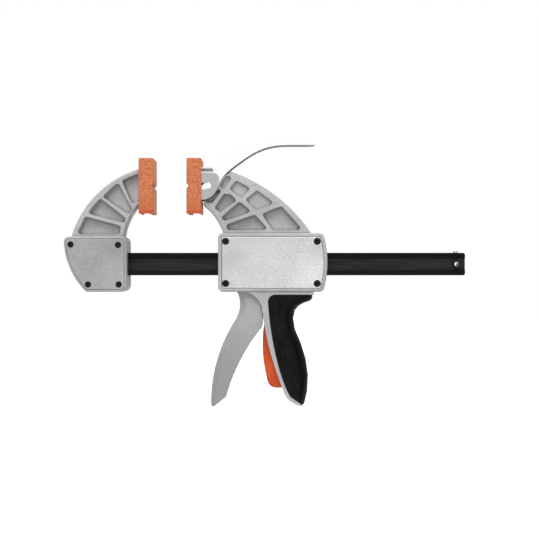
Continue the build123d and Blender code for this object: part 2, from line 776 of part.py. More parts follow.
def trigger():
    body = plate(trigger_face(), trigger_half)
    for y in (-trigger_half, trigger_half):
        side = body.faces().sort_by(Axis.Y)[0 if y < 0 else -1]
        front = [e for e in side.edges() if e.geom_type == GeomType.CIRCLE
                 and any(abs(v.X - trigger_crook[0]) + abs(v.Z - trigger_crook[1]) < 0.01 for v in e.vertices())]
        body = chamfer(front, *trigger_bevel, reference=side)
    body -= plate(trigger_hollow_face(), trigger_half - trigger_wall)
    fork_half = bar_thickness / 2 + 0.8
    body -= block(-20, 20, -fork_half, fork_half, -34.5, 20)
    body -= cross_pin(0, 0, trigger_pin_radius + fit_gap, -housing_half, housing_half)
    return Pos(trigger_x, 0, trigger_z) * body


def pivot_pin(x, z, radius):
    return cross_pin(x, z, radius, -cover_seat - 0.6, pin_back)


# ---------------------------------------------------------------- drive and brake
def drive_plates():
    made = []
    for i in range(drive_plate_count):
        x = drive_x + i * (drive_plate_thickness + seat_gap)
        body = block(x, x + drive_plate_thickness, -plate_half, plate_half, bar_z - 15.0, drive_top)
        gap = running_gap
        hole = block(x - 1, x + drive_plate_thickness + 1, -bar_thickness / 2 - gap, bar_thickness / 2 + gap,
                     bar_z - bar_height / 2 - gap, bar_z + bar_height / 2 + gap)
        made.append(body - hole)
    return made


def coil(start, end, z, turns):
    """A compression spring along X. Its wire runs in short straight lengths, which keeps it light."""
    length = end - start - 2 * running_gap - spring_wire
    radius, steps = spring_radius - spring_wire / 2, turns * coil_steps
    path = Polyline(*[
        (radius * cos(tau * i / coil_steps), radius * sin(tau * i / coil_steps), length * i / steps)
        for i in range(steps + 1)
    ])
    section = Plane(path @ 0, z_dir=path % 0) * RegularPolygon(spring_wire / 2, 4)
    wire = sweep(section, path=path, transition=Transition.RIGHT)
    return Pos(start + running_gap + spring_wire / 2, 0, z) * Rot(0, 90, 0) * wire


def drive_spring():
    return coil(drive_x + drive_plate_count * (drive_plate_thickness + seat_gap), spring_seat_x,
                drive_spring_z, drive_spring_turns)


def brake_plate():
    """Hangs in its notch with the lower end to the left, so that it jams on the bar."""
    tilt = radians(brake_tilt)
    half = brake_thickness / 2
    body = block(-half, half, -brake_half, brake_half, -brake_length, 0)
    body = body + cross_pin(0, 0, half, -brake_half, brake_half)
    rise = (bar_height / 2 + running_gap + half * sin(tilt)) / cos(tilt)
    middle = (bar_z - brake_z) / cos(tilt)
    width = bar_thickness / 2 + running_gap
    body -= block(-half - 1, half + 1, -width, width, middle - rise, middle + rise)
    return Pos(brake_x, 0, brake_z) * Rot(0, brake_tilt, 0) * body


def brake_spring():
    z = bar_z - bar_height / 2 - spring_radius - 2 * running_gap
    near = brake_x - (brake_z - z) * sin(radians(brake_tilt)) + brake_thickness / 2 + 0.4
    return coil(near, brake_seat_x, z, brake_spring_turns)


# ---------------------------------------------------------------- release lever
def release_lever():
    """Pulled towards the handle, its nose pushes the brake plate's lower end square to the bar."""
    top, toe, heel = (-3.5, 1.0), (-15.8, -99.5), (-5.5, -108.2)
    tip, root = (1.2, -108.1), (3.6, -8.4)
    face = make_face([
        bow(top, toe, -9.8),
        bow(toe, heel, -3.0),
        Line(heel, tip),
        bow(tip, root, 13.0),
        Line(root, (7.6, -7.6)),
        Line((7.6, -7.6), (7.6, -4.6)),
        Line((7.6, -4.6), (3.0, -0.6)),
        Line((3.0, -0.6), top),
    ])
    body = plate(face, release_half)
    body = chamfer([e for e in body.edges() if e.length > 80], release_break)
    body = body + cross_pin(0, 0, release_boss, -release_half, release_half)
    body -= cross_pin(0, 0, release_pin_radius + fit_gap, -housing_half, housing_half)
    return Pos(release_x, 0, release_z) * body


parts = {
    "bar": bar,
    "stop_pin": stop_pin,
    "stop_rivet": stop_rivet,
    "bar_dowels": dowels,
    "fixed_jaw": fixed_jaw,
    "fixed_cover": fixed_cover,
    "fixed_cover_screws": lambda: cover_screws(fixed_screws, fixed_screw_radius),
    "fixed_pad": fixed_pad,
    "moving_pad": moving_pad,
    "pad_bracket": pad_bracket,
    "power_lever": power_lever,
    "lever_pin": lever_pin,
    "moving_jaw": moving_jaw,
    "moving_cover": moving_cover,
    "moving_cover_screws": lambda: cover_screws(moving_screws, moving_screw_radius),
    "bar_guides": bar_guides,
    "rubber_grip": rubber_grip,
    "trigger": trigger,
    "trigger_pin": lambda: pivot_pin(trigger_x, trigger_z, trigger_pin_radius),
    "drive_plates": drive_plates,
    "drive_spring": drive_spring,
    "brake_plate": brake_plate,
    "brake_spring": brake_spring,
    "release_lever": release_lever,
    "release_pin": lambda: pivot_pin(release_x, release_z, release_pin_radius),
}

os.makedirs("parts", exist_ok=True)
for name, make in parts.items():
    made = make()
    solids = made if isinstance(made, list) else list(made.solids())
    shape = solids[0] if len(solids) == 1 else Compound(children=solids)
    export_step(shape, f"parts/{name}.step")
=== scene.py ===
import json
from math import radians

import bmesh
import bpy
from bpy.props import FloatProperty, FloatVectorProperty, PointerProperty
from bpy.types import Operator, Panel, PropertyGroup
from mathutils import Matrix, Vector

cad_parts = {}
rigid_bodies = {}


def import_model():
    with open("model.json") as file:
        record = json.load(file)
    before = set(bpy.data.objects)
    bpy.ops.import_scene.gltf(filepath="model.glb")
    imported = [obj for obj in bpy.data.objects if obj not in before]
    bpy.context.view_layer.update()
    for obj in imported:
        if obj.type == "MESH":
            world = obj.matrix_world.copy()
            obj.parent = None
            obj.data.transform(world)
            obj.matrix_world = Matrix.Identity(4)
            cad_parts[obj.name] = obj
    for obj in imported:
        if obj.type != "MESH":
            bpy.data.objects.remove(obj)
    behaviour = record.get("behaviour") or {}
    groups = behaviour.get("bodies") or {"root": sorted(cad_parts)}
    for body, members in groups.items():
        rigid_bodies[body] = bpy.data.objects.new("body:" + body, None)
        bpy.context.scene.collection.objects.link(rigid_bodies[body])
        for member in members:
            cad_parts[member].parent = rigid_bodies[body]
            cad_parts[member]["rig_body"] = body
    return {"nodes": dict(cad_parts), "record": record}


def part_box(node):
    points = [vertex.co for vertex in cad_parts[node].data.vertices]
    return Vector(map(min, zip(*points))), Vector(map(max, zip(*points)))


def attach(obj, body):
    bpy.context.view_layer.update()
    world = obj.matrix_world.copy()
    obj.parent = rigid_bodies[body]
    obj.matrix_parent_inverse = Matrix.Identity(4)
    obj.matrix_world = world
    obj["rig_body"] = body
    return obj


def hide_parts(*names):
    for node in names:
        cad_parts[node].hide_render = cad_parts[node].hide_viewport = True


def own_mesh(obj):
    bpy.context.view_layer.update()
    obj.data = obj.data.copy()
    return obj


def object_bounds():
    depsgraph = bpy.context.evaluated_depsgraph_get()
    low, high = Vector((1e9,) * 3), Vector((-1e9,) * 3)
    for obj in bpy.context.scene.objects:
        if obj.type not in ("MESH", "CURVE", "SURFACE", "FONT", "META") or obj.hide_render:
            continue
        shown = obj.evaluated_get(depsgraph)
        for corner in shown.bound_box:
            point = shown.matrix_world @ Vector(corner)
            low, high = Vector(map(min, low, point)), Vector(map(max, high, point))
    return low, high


bl_info = {
    "name": "Quick release bar clamp",
    "version": (1, 0, 0),
    "blender": (4, 5, 0),
    "location": "View3D > Sidebar > Clamp",
    "description": "Finishes the clamp's machined parts and lights them",
    "category": "Object",
}

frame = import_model()
cad_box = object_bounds()

MM = 0.001
X, Y, Z = range(3)

# the sockets of a Mix node, which have the same names for numbers and for colours
FACTOR = 0
NUMBER_A, NUMBER_B, NUMBER_OUT = 2, 3, 0
COLOUR_A, COLOUR_B, COLOUR_OUT = 6, 7, 2

# how the machined parts are taken up
MERGE_DISTANCE = 2e-6
FLAT_ANGLE = radians(0.4)
RIDGE_ANGLE = radians(32.0)

# places on the pieces
BAR_THICK_EDGE = 5.4 * MM  # from the bar's top or underside to its rolled recess
RECESS_FADE = 0.2 * MM
# from these levels down, the pads get painted shade towards their lower lip
PAD_SHADE_FROM = -10 * MM  # level on the pads
PAD_LIP_LEVEL = -23.5 * MM
PAD_LIP_FADE = 1.5 * MM
# painted shade darkens the trigger's paint between these two levels, towards its lower end
LOWER_SHADE_FROM = 85 * MM  # below the trigger's top
LOWER_SHADE_TO = 20 * MM  # above its lower end
LEVER_INSIDE = 1.9 * MM  # from the outside of the lever's cheeks to the faces inside

# the screws in the covers
SCREW_STEPS = 40
SCREW_RIM_WIDTH = 0.25 * MM
SCREW_RIM_DEPTH = 0.2 * MM
COUNTERSINK_DEPTH = 1.9 * MM
SOCKET_DEPTH = 1.3 * MM
SHANK_END = 0.1 * MM  # how far from a screw's tip its shank is measured
RING_LEVEL = 1e-6
RING_MARGIN = 1e-4

# the springs: node, piece, the joint that presses it, and by how much at that joint's end
SPRINGS = (
    ("drive_spring", "drive_coil", "drive_travel", 6.2 * MM),
    ("brake_spring", "brake_coil", "brake_tilt", 0.7 * MM),
)

# the stage
MIDDLE = (Vector(cad_box[0]) + Vector(cad_box[1])) / 2
FLOOR_HALF = 6.0
SKY = 0.55
WHITE = (1.0, 1.0, 1.0, 1.0)
LAMPS = (  # name, place, turn in degrees, size, power
    ("key_lamp", (MIDDLE.x - 0.25, -0.85, 1.05), (42, 0, -12), 0.9, 9.0),
    ("top_lamp", (MIDDLE.x + 0.1, 0.05, 1.15), (0, 0, 0), 0.8, 6.0),
)
CAMERA_PLACE = (0.1148, -0.960, -0.083)
CAMERA_LENS = 64.0
CAMERA_SENSOR = 36.0


def screen(*levels):
    """A colour as a screen shows it, 0 to 255, in the linear values that shaders take."""
    return tuple(
        (v / 255 / 12.92) if v <= 10 else ((v / 255 + 0.055) / 1.055) ** 2.4 for v in levels)


# ------------------------------------------------------------------ what a user would change
def length(name, description, default):
    return FloatProperty(
        name=name, description=description, default=default, min=0.0, unit="LENGTH")


def colour(name, description, default):
    return FloatVectorProperty(
        name=name, description=description, default=default, subtype="COLOR", size=3,
        min=0.0, max=1.0)


class ClampSizes(PropertyGroup):
    casting_edge: length("Casting edge", "Rounding of the fixed casting and the rubber", 0.4 * MM)
    handle_edge: length("Handle casting edge", "Rounding of the casting with the handle", 0.3 * MM)
    cover_edge: length("Cover edge", "Rounding of the cover plates' edges", 0.2 * MM)
    pad_edge: length("Pad edge", "Rounding of the pads' edges", 0.4 * MM)
    sheet_edge: length("Sheet edge", "Rounding of the pressed steel's edges", 0.35 * MM)
    trigger_edge: length("Trigger edge", "Rounding of the trigger's edges", 0.6 * MM)
    release_edge: length("Release edge", "Rounding of the release lever's edges", 0.4 * MM)
    bar_edge: length("Bar edge", "Rounding of the rolled bar's edges", 0.6 * MM)
    small_edge: length("Small edge", "Rounding of pins", 0.15 * MM)
    socket: length("Socket", "Middle to corner of the screws' sockets", 1.5 * MM)
    floor_drop: length("Floor", "From the datum down to the floor", 0.42)


class ClampColours(PropertyGroup):
    cast_alloy: colour("Casting", "Paint of the two castings", screen(184, 184, 184))
    cover_paint: colour("Fixed cover", "Paint of the fixed jaw's cover", screen(167, 167, 167))
    brushed_cover: colour("Moving cover", "Bare brushed metal", screen(204, 204, 204))
    trigger_paint: colour("Trigger", "Paint of the trigger", screen(175, 175, 175))
    pad_orange: colour("Pads", "Moulded pads", screen(208, 121, 78))
    release_orange: colour("Release lever", "Moulded release lever", screen(220, 88, 34))
    grip_black: colour("Grip", "Rubber of the handle", screen(20, 20, 22))
    bar_black: colour("Bar", "Blackened steel", screen(12, 12, 13))
    lever_chrome: colour("Power lever", "Polished steel", screen(253, 253, 253))
    bracket_steel: colour("Bracket", "Zinc plated steel", screen(171, 172, 172))
    screw_black: colour("Screws", "Blackened screws", screen(34, 34, 35))
    pin_steel: colour("Pins and plates", "Bright steel", screen(190, 190, 188))
    guide_plastic: colour("Bar guides", "Dark plastic", screen(44, 44, 46))


# ------------------------------------------------------------------ shader building
def step(tree, kind, inputs=None, **settings):
    """One shader node; an input is a value or the socket that feeds it."""
    made = tree.nodes.new(kind)
    for key, value in settings.items():
        setattr(made, key, value)
    for key, value in (inputs or {}).items():
        if isinstance(value, bpy.types.NodeSocket):
            tree.links.new(value, made.inputs[key])
        else:
            made.inputs[key].default_value = value
    return made


def sums(tree, operation, *values, clamp=False):
    made = step(tree, "ShaderNodeMath", dict(enumerate(values)),
                operation=operation, use_clamp=clamp)
    return made.outputs[0]


def ranged(tree, value, low, high, to_low=0.0, to_high=1.0):
    """The value with its range low to high spread over another range."""
    return step(tree, "ShaderNodeMapRange", {
        "Value": value, "From Min": low, "From Max": high, "To Min": to_low, "To Max": to_high,
    }).outputs["Result"]


def between(tree, mask, first, second):
    """The first colour where the mask is 0 and the second where it is 1."""
    mix = tree.nodes.new("ShaderNodeMix")
    mix.data_type = "RGBA"
    for index, value in ((FACTOR, mask), (COLOUR_A, first), (COLOUR_B, second)):
        if isinstance(value, bpy.types.NodeSocket):
            tree.links.new(value, mix.inputs[index])
        else:
            mix.inputs[index].default_value = value if index == FACTOR else (*value, 1.0)
    return mix.outputs[COLOUR_OUT]


def tinted(tree, colour, goal, where, share=1.0):
    """The colour, moved towards the goal by the mask where, times a share."""
    if share != 1.0:
        where = sums(tree, "MULTIPLY", where, share)
    return between(tree, where, colour, goal)


def shades(base, factor, lift=0.0):
    """The colour times a factor, or times one factor for each channel, and lifted a little."""
    factors = factor if isinstance(factor, tuple) else (factor,) * 3
    return tuple(min(1.0, channel * f + lift) for channel, f in zip(base, factors))


def effect(name, inputs, outputs, build):
    """A shader node group, built once, with named inputs and outputs."""
    tree = bpy.data.node_groups.get(name)
    if tree is None:
        tree = bpy.data.node_groups.new(name, "ShaderNodeTree")
        for title, default in inputs.items():
            socket = tree.interface.new_socket(
                title, in_out="INPUT", socket_type="NodeSocketFloat")
            socket.default_value = default
        for title in outputs:
            tree.interface.new_socket(title, in_out="OUTPUT", socket_type="NodeSocketFloat")
        given = tree.nodes.new("NodeGroupInput").outputs
        taken = tree.nodes.new("NodeGroupOutput").inputs
        for title, socket in build(tree, given).items():
            tree.links.new(socket, taken[title])
    return tree


def placed(tree, group, **values):
    """A group in a material, with its own values; an underscore in a name stands for a space."""
    made = step(tree, "ShaderNodeGroup", node_tree=group)
    for key, value in values.items():
        made.inputs[key.replace("_", " ")].default_value = value
    return made.outputs


def masked(tree, group, **values):
    """The mask that a group gives."""
    return placed(tree, group, **values)["Mask"]


def here(tree):
    return tree.nodes.new("ShaderNodeTexCoord").outputs["Object"]


def along(tree, vector, axis):
    """One of a vector's three values."""
    return step(tree, "ShaderNodeSeparateXYZ", {"Vector": vector}).outputs[axis]


def level(tree, axis):
    """Place on the piece along an axis of the model, in metres."""
    return along(tree, here(tree), axis)


def square_to(tree, axis):
    """How squarely the surface faces one way or the other along an axis, 0 to 1."""
    normal = tree.nodes.new("ShaderNodeTexCoord").outputs["Normal"]
    return sums(tree, "ABSOLUTE", along(tree, normal, axis))


def noise(tree, place, scale, detail=2.0, roughness=0.5):
    """Soft noise around 0.5, with about as many spots to the metre as scale says."""
    return step(tree, "ShaderNodeTexNoise", {
        "Vector": place, "Scale": scale, "Detail": detail, "Roughness": roughness,
    }).outputs["Fac"]


def layered(tree, first, second, share):
    """Two noises added, the first by its share and the second by the rest, spread to 0 to 1."""
    both = sums(tree, "ADD", sums(tree, "MULTIPLY", first, share),
                sums(tree, "MULTIPLY", second, 1 - share))
    return ranged(tree, both, 0.36, 0.64)


def grain():
    """Pebbled surface: Height of the pebbles, and Tone, a slow unevenness of the paint."""
    def build(tree, given):
        place = here(tree)
        pebbles = noise(tree, place, given["Scale"], 2.0, 0.55)
        clouds = noise(tree, place, sums(tree, "MULTIPLY", given["Scale"], 0.05), 3.0)
        return {"Height": pebbles, "Tone": layered(tree, pebbles, clouds, 0.55)}
    return effect("pebble_grain", {"Scale": 800.0}, ("Height", "Tone"), build)


def rubbed_edges():
    """Mask of the edges, broken up unevenly: it carries real wear on the steel, and painted
    edge shade and highlights on the paint, the plastic, the pads and the polished lever.
    """
    def build(tree, given):
        bevel = step(tree, "ShaderNodeBevel", {"Radius": given["Radius"]}, samples=6)
        flat_normal = tree.nodes.new("ShaderNodeNewGeometry").outputs["True Normal"]
        turn = step(tree, "ShaderNodeVectorMath", {0: bevel.outputs["Normal"], 1: flat_normal},
                    operation="DOT_PRODUCT").outputs["Value"]
        edge = ranged(tree, turn, 0.99, given["Full Turn"])
        uneven = ranged(tree, noise(tree, here(tree), 260.0, 3.0), 0.35, 0.6)
        return {"Mask": sums(tree, "MULTIPLY", edge, uneven, clamp=True)}
    return effect("rubbed_edges", {"Radius": 0.6 * MM, "Full Turn": 0.86}, ("Mask",), build)


def occluded(name, reach, open_at, closed_at, only_local):
    """Mask of what has surfaces near it: 0 where it is open and 1 where it is closed in."""
    def build(tree, given):
        sky = step(tree, "ShaderNodeAmbientOcclusion", {"Distance": given["Reach"]},
                   samples=8, only_local=only_local).outputs["AO"]
        return {"Mask": ranged(tree, sky, open_at, closed_at)}
    return effect(name, {"Reach": reach}, ("Mask",), build)


def recesses():
    """Mask of inner corners and pocket floors, from ambient occlusion: the finishes use it for
    painted shade, and the casting paint for painted light on its pocket floors.
    """
    return occluded("recess_dust", 4 * MM, 0.95, 0.35, only_local=True)


def seams():
    """Mask of the thin gaps between two pieces, for the painted shade in them."""
    return occluded("seam_dirt", 1 * MM, 0.8, 0.45, only_local=False)


def brushing():
    """Fine lines left by brushing along the bar: Height, and Tone, their light and dark streaks."""
    def build(tree, given):
        lines = step(tree, "ShaderNodeMapping", {
            "Vector": here(tree), "Scale": (0.035, 1.0, 1.0)}).outputs[0]
        fine = noise(tree, lines, given["Scale"], 3.0, 0.6)
        broad = noise(tree, lines, sums(tree, "MULTIPLY", given["Scale"], 0.12))
        return {"Height": fine, "Tone": layered(tree, fine, broad, 0.6)}
    return effect("brushed_lines", {"Scale": 2600.0}, ("Height", "Tone"), build)


def speckles():
    """Small light and dark specks in a moulded compound."""
    def build(tree, given):
        specks = noise(tree, here(tree), given["Scale"], 1.5, 0.7)
        fine = noise(tree, here(tree), sums(tree, "MULTIPLY", given["Scale"], 2.3), 1.0)
        return {"Mask": layered(tree, specks, fine, 0.65)}
    return effect("compound_specks", {"Scale": 600.0}, ("Mask",), build)


# ------------------------------------------------------------------ materials
def finish(name, base, *, rough, metal=0.0, specular=0.5, build=None):
    """A material with its Principled shader; build adds the detail that a bare colour lacks."""
    made = bpy.data.materials.get(name)
    if made is None:
        made = bpy.data.materials.new(name)
        made.use_nodes = True
        tree = made.node_tree
        shader = tree.nodes["Principled BSDF"]
        shader.inputs["Base Color"].default_value = (*base, 1.0)
        shader.inputs["Roughness"].default_value = rough
        shader.inputs["Metallic"].default_value = metal
        shader.inputs["Specular IOR Level"].default_value = specular
        if build:
            build(tree, shader)
    return made


def surfaced(tree, shader, colour, tone, rough, height, depth, strength=1.0):
    """Gives a shader its colour, and a roughness from the first to the second of rough as the
    tone goes from 0 to 1, and lets the height dent the surface, as deep as depth in metres."""
    bump = step(tree, "ShaderNodeBump", {
        "Height": height, "Distance": depth, "Strength": strength})
    for socket, name in (
        (colour, "Base Color"),
        (ranged(tree, tone, 0.0, 1.0, *rough), "Roughness"),
        (bump.outputs["Normal"], "Normal"),
    ):
        tree.links.new(socket, shader.inputs[name])


def painted_casting(name, base, *, depth=0.10 * MM, sloped=0.85, edge=(0.8 * MM, 0.86, 0.55),
                    hand=None):
    """Light grey paint over a pebbled casting, with painted light on its pocket floors, and
    painted shade in their corners, on faces that turn away from its broad sides and in the
    gaps beside other pieces. sloped is the tilt from the flat side, as a cosine, where that
    painted shade starts. edge gives the width of the line along each ridge, the cosine of a
    ridge that shows it in full, and its tone: below 1 the line is painted shade, above 1 a
    painted highlight. hand gives two levels: painted shade darkens the paint from the first
    down to the second."""
    dark_fleck, light_fleck, lower_shade_tone = (shades(base, f) for f in (0.82, 1.16, 0.7))
    walls, floors, painted_shade = (shades(base, f) for f in (0.45, 1.35, 0.35))
    edge_width, full_turn, edge_tone = edge

    def build(tree, shader):
        pebbles = placed(tree, grain(), Scale=700.0)
        paint = between(tree, pebbles["Tone"], dark_fleck, light_fleck)
        # painted shade towards the lower end, from the first level of hand to the second
        if hand:
            paint = tinted(tree, paint, lower_shade_tone, ranged(tree, level(tree, Z), *hand, 0.0, 0.8))
        # painted shade on faces that turn away from the broad sides, and painted light on the
        # pocket floors
        steep = ranged(tree, square_to(tree, Y), sloped, 0.4, 0.0, 0.75)
        paint = tinted(tree, paint, walls, steep)
        paint = tinted(tree, paint, floors, masked(tree, recesses(), Reach=9 * MM), 0.6)
        # painted shade in the inner corners and in the gaps beside other pieces
        paint = tinted(tree, paint, painted_shade, masked(tree, recesses(), Reach=2.6 * MM), 0.85)
        paint = tinted(tree, paint, painted_shade, masked(tree, seams(), Reach=1 * MM), 0.6)
        # a painted line along the ridges: shade where its tone is below 1, a highlight above
        line = masked(tree, rubbed_edges(), Radius=edge_width, Full_Turn=full_turn)
        paint = tinted(tree, paint, shades(base, edge_tone), line, 0.7)
        surfaced(tree, shader, paint, pebbles["Tone"], (0.58, 0.46), pebbles["Height"], depth, 0.7)
    return finish(name, base, rough=0.52, specular=0.35, build=build)


def brushed_metal(name, base, *, rough, scale=2600.0, spread=0.06, rim=1.15):
    """Bright metal with fine brushed lines, its edges lighter or darker by the factor rim."""
    def build(tree, shader):
        lines = placed(tree, brushing(), Scale=scale)
        metal = between(tree, lines["Tone"], shades(base, 1 - spread), shades(base, 1 + spread))
        edges = masked(tree, rubbed_edges(), Radius=0.4 * MM)
        metal = tinted(tree, metal, shades(base, rim), edges)
        surfaced(tree, shader, metal, lines["Tone"], (rough + 0.06, rough - 0.06),
                 lines["Height"], 0.012 * MM)
    return finish(name, base, rough=rough, metal=1.0, build=build)


def bare_cover(name, base):
    """Bare metal plate with a blasted grain, a painted reflection of broad soft streaks and a
    slant from darker to lighter metal, and painted shade in the seams.
    """
    shaded_metal, bright, pitted, painted_shade = (shades(base, f) for f in (0.86, 1.18, 0.66, 0.3))

    def build(tree, shader):
        skin = placed(tree, grain(), Scale=560.0)
        # a painted reflection: broad soft streaks and a slant from darker to lighter metal
        streak_place = step(tree, "ShaderNodeMapping", {
            "Vector": here(tree), "Rotation": (0.0, radians(38), 0.0),
            "Scale": (9.0, 9.0, 34.0)}).outputs[0]
        streaks = ranged(tree, noise(tree, streak_place, 1.0), 0.4, 0.6)
        slant = sums(tree, "SUBTRACT", sums(tree, "MULTIPLY", level(tree, X), 7.0),
                     sums(tree, "MULTIPLY", level(tree, Z), 6.0))
        painted_reflection = sums(tree, "ADD", sums(tree, "MULTIPLY", streaks, 0.3),
                     sums(tree, "MULTIPLY", ranged(tree, slant, 0.95, 1.45), 0.75), clamp=True)
        metal = between(tree, painted_reflection, shaded_metal, bright)
        metal = tinted(tree, metal, pitted, skin["Tone"], 0.8)
        # painted shade in the seams
        metal = tinted(tree, metal, painted_shade, masked(tree, seams(), Reach=1 * MM), 0.7)
        surfaced(tree, shader, metal, skin["Tone"], (0.52, 0.4), skin["Height"], 0.03 * MM, 0.6)
    return finish(name, base, rough=0.46, metal=1.0, build=build)


def pad_compound(base):
    """Speckled orange compound, with a redder painted shade towards its lower lip and on its top
    and underside, painted light on its sides that face along X, painted shade in its grooves
    and a painted highlight along its edges."""
    pad_lower_shade, lip = shades(base, (0.95, 0.78, 0.64)), shades(base, (0.95, 0.42, 0.3))
    side_light, edge_highlight = shades(base, (0.93, 1.45, 2.1)), shades(base, (1.15, 2.0, 3.2))
    top_and_under_shade, groove_shade = shades(base, (0.55, 0.3, 0.25)), shades(base, (0.45, 0.3, 0.3))

    def build(tree, shader):
        specks = masked(tree, speckles(), Scale=560.0)
        body = between(tree, specks, shades(base, 0.62), shades(base, 1.25, lift=0.02))
        height = level(tree, Z)
        lower = ranged(tree, height, PAD_SHADE_FROM, PAD_LIP_LEVEL, 0.0, 0.6)
        lowest = ranged(tree, height, PAD_LIP_LEVEL, PAD_LIP_LEVEL - PAD_LIP_FADE, 0.0, 0.85)
        # painted shade towards the lower lip, on the top and underside and in the grooves; painted
        # light on the sides that face along X; a painted highlight on the edges
        body = tinted(tree, body, pad_lower_shade, lower)
        body = tinted(tree, body, lip, lowest)
        body = tinted(tree, body, side_light, ranged(tree, square_to(tree, X), 0.6, 0.9), 0.7)
        body = tinted(tree, body, top_and_under_shade, ranged(tree, square_to(tree, Z), 0.25, 0.8), 0.7)
        body = tinted(tree, body, groove_shade, masked(tree, recesses(), Reach=6 * MM), 0.7)
        body = tinted(tree, body, edge_highlight, masked(tree, rubbed_edges(), Radius=1.1 * MM), 0.55)
        surfaced(tree, shader, body, specks, (0.68, 0.56), specks, 0.06 * MM, 0.6)
    return finish("pad_compound", base, rough=0.62, specular=0.22, build=build)


def moulded_plastic(name, base, *, rough, edge=1.25):
    """Plastic with a fine moulded grain and painted shade in its recesses; its edges and close
    seams are tinted by the factor edge, as painted shade below 1 and a painted highlight above.
    """
    rim = shades(base, edge)

    def build(tree, shader):
        skin = placed(tree, grain(), Scale=800.0)
        body = between(tree, skin["Tone"], shades(base, 0.74), shades(base, 1.2, lift=0.01))
        # painted shade in the recesses, and at the seams and edges a tint by the factor edge: shade
        # below 1, highlight above
        body = tinted(tree, body, shades(base, 0.5), masked(tree, recesses(), Reach=4 * MM), 0.5)
        body = tinted(tree, body, rim, masked(tree, seams(), Reach=3 * MM), 0.7)
        edges = masked(tree, rubbed_edges(), Radius=2.2 * MM, Full_Turn=0.94)
        body = tinted(tree, body, rim, edges)
        surfaced(tree, shader, body, skin["Tone"], (rough + 0.05, rough - 0.05),
                 skin["Height"], 0.02 * MM, 0.5)
    return finish(name, base, rough=rough, specular=0.25, build=build)


def rubber(base):
    """Soft black rubber with a fine leathery grain, darker with painted shade where it rounds
    towards the bar's free end, and greyed on its flanks by a painted highlight."""
    def build(tree, shader):
        skin = placed(tree, grain(), Scale=620.0)
        body = between(tree, skin["Tone"], shades(base, 0.3), shades(base, 2.0))
        rounded = step(tree, "ShaderNodeBevel", {"Radius": 13 * MM}, samples=8).outputs["Normal"]
        # painted shade on the band that rounds towards the bar's free end, and a painted highlight
        # on the flanks
        turned = ranged(tree, along(tree, rounded, X), 0.03, 0.3)
        body = tinted(tree, body, shades(base, 0.12), turned)
        lit_flank = ranged(tree, square_to(tree, Y), 0.5, 0.1, 0.0, 0.7)
        body = tinted(tree, body, shades(base, 1.6), lit_flank)
        surfaced(tree, shader, body, skin["Tone"], (0.72, 0.56), skin["Height"], 0.08 * MM, 0.6)
    return finish("grip_rubber", base, rough=0.64, specular=0.07, build=build)


def black_steel(name, base, *, rough, rolled=None):
    """Blackened steel: a thin dark skin over bright metal that shows on the edges.
    rolled gives the lowest and highest level of a recess: the colour is much lighter in it
    and a little lighter on the face below it."""
    bared, in_recess, below_recess = 7.0, 5.8, 1.9

    def skin(tree, factor):
        if not rolled:
            return shades(base, factor)
        low, high = rolled
        inside = sums(tree, "MULTIPLY", ranged(tree, level(tree, Z), low, low + RECESS_FADE),
                      ranged(tree, level(tree, Z), high, high - RECESS_FADE))
        below = ranged(tree, level(tree, Z), low + RECESS_FADE, low)
        outside = between(tree, below, shades(base, factor), shades(base, factor * below_recess))
        return between(tree, inside, outside, shades(base, factor * in_recess))

    def build(tree, shader):
        lines = placed(tree, brushing(), Scale=700.0)
        body = between(tree, lines["Tone"], skin(tree, 0.55), skin(tree, 1.5))
        edges = masked(tree, rubbed_edges(), Radius=0.5 * MM)
        body = tinted(tree, body, shades(base, bared), edges, 0.3)
        surfaced(tree, shader, body, lines["Tone"], (rough + 0.08, rough - 0.08),
                 lines["Height"], 0.015 * MM)
    return finish(name, base, rough=rough, specular=0.07, build=build)


# ------------------------------------------------------------------ pieces
def smooth_object(form, piece, soft):
    """The object of a form, smooth but for the edges that turn by more than soft, in degrees."""
    mesh = bpy.data.meshes.new(piece)
    form.to_mesh(mesh)
    form.free()
    for layer in ("custom_normal", "sharp_face"):
        if layer in mesh.attributes:
            mesh.attributes.remove(mesh.attributes[layer])
    mesh.shade_smooth()
    mesh.set_sharp_from_angle(angle=radians(soft))
    obj = bpy.data.objects.new(piece, mesh)
    bpy.context.scene.collection.objects.link(obj)
    return obj


def stand_in(obj, node, material):
    """Lets the object stand for a machined part: it rides its body and replaces it."""
    source = frame["nodes"][node]
    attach(obj, source["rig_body"])
    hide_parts(node)
    obj.data.materials.append(material)


def refined(node, piece, material, *, edge=0.0, segments=2, soft=40.0, rimmed=False,
            shape=None, inner=None):
    """A merged copy of a machined part, its edges broken by edge, which stands for that part.
    rimmed is for a part with flat faces that run around recesses or holes, which it splits up.
    shape may change the copy first, and inner is a second finish for the faces that it marks."""
    form = bmesh.new()
    form.from_mesh(frame["nodes"][node].data)
    bmesh.ops.remove_doubles(form, verts=form.verts, dist=MERGE_DISTANCE)
    bmesh.ops.dissolve_limit(form, angle_limit=FLAT_ANGLE, verts=form.verts, edges=form.edges)
    if rimmed:
        bmesh.ops.connect_verts_concave(form, faces=form.faces)
    if shape:
        shape(form)
    obj = smooth_object(form, piece, soft)
    if edge:
        bevel = obj.modifiers.new("broken_edges", "BEVEL")
        bevel.width = edge
        bevel.segments = segments
        bevel.limit_method = "ANGLE"
        bevel.angle_limit = RIDGE_ANGLE
        bevel.use_clamp_overlap = False
        bevel.miter_outer = "MITER_ARC"
    flat = obj.modifiers.new("flat_faces", "WEIGHTED_NORMAL")
    flat.keep_sharp = True
    stand_in(obj, node, material)
    if inner:
        obj.data.materials.append(inner)
    return obj


def dressed(node, material):
    """Gives a machined part, shown as it is, its own finish."""
    for place in frame["nodes"][node].material_slots:
        place.material = material


